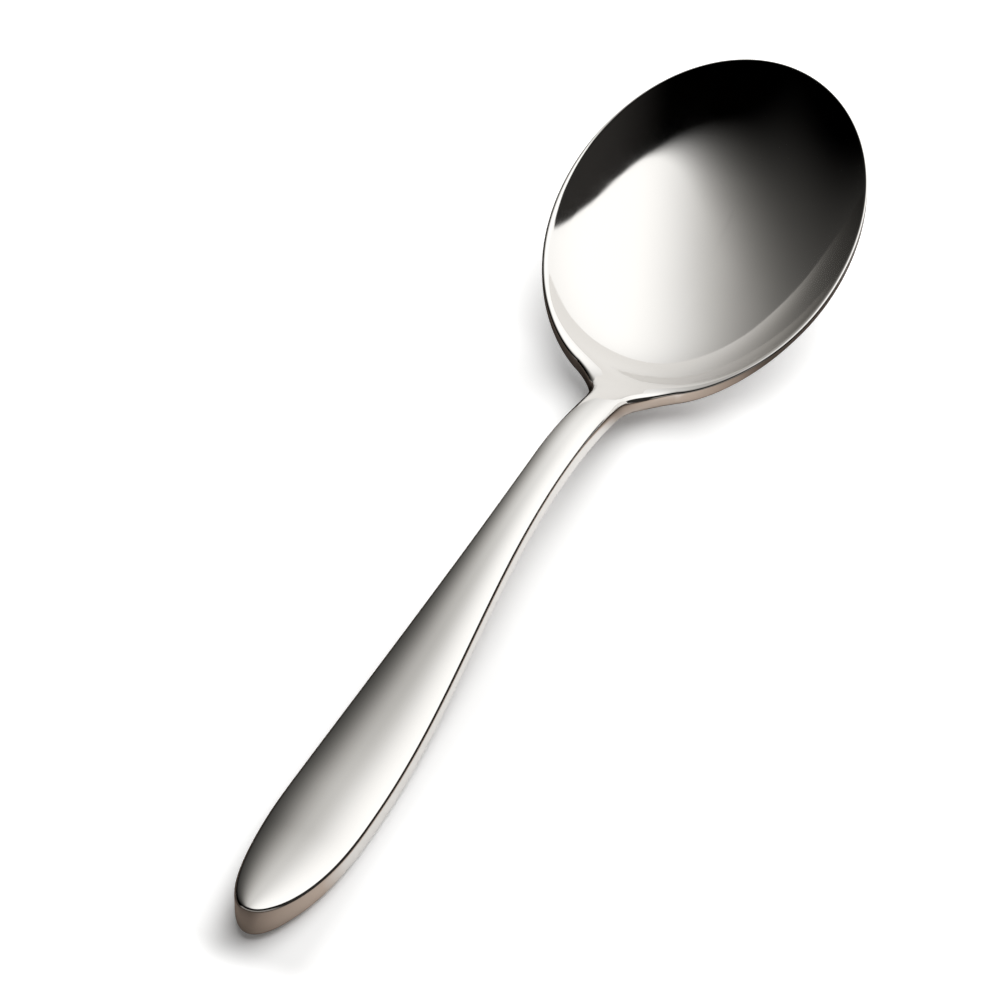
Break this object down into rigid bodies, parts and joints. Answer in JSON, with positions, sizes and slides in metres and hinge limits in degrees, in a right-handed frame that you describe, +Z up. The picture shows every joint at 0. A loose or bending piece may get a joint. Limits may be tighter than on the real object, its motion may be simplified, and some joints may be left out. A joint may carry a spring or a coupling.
{
  "type": "bouillon spoon",
  "caption": "One-piece polished steel soup spoon with an oval bowl, a narrow rounded neck and a flat domed tear-drop handle.",
  "frame": {"origin": "on the table, midway between the handle tip and the bowl tip, on the spoon's middle plane", "axes": "+X along the spoon from the handle towards the bowl tip, +Y across it, +Z up out of the bowl"},
  "size_m": [0.16, 0.0422, 0.0219],
  "materials": {
    "polished_steel": "polished"
  },
  "bodies": {
    "root": {"bowl": "polished_steel", "neck": "polished_steel", "handle": "polished_steel"}
  },
  "joints": []
}
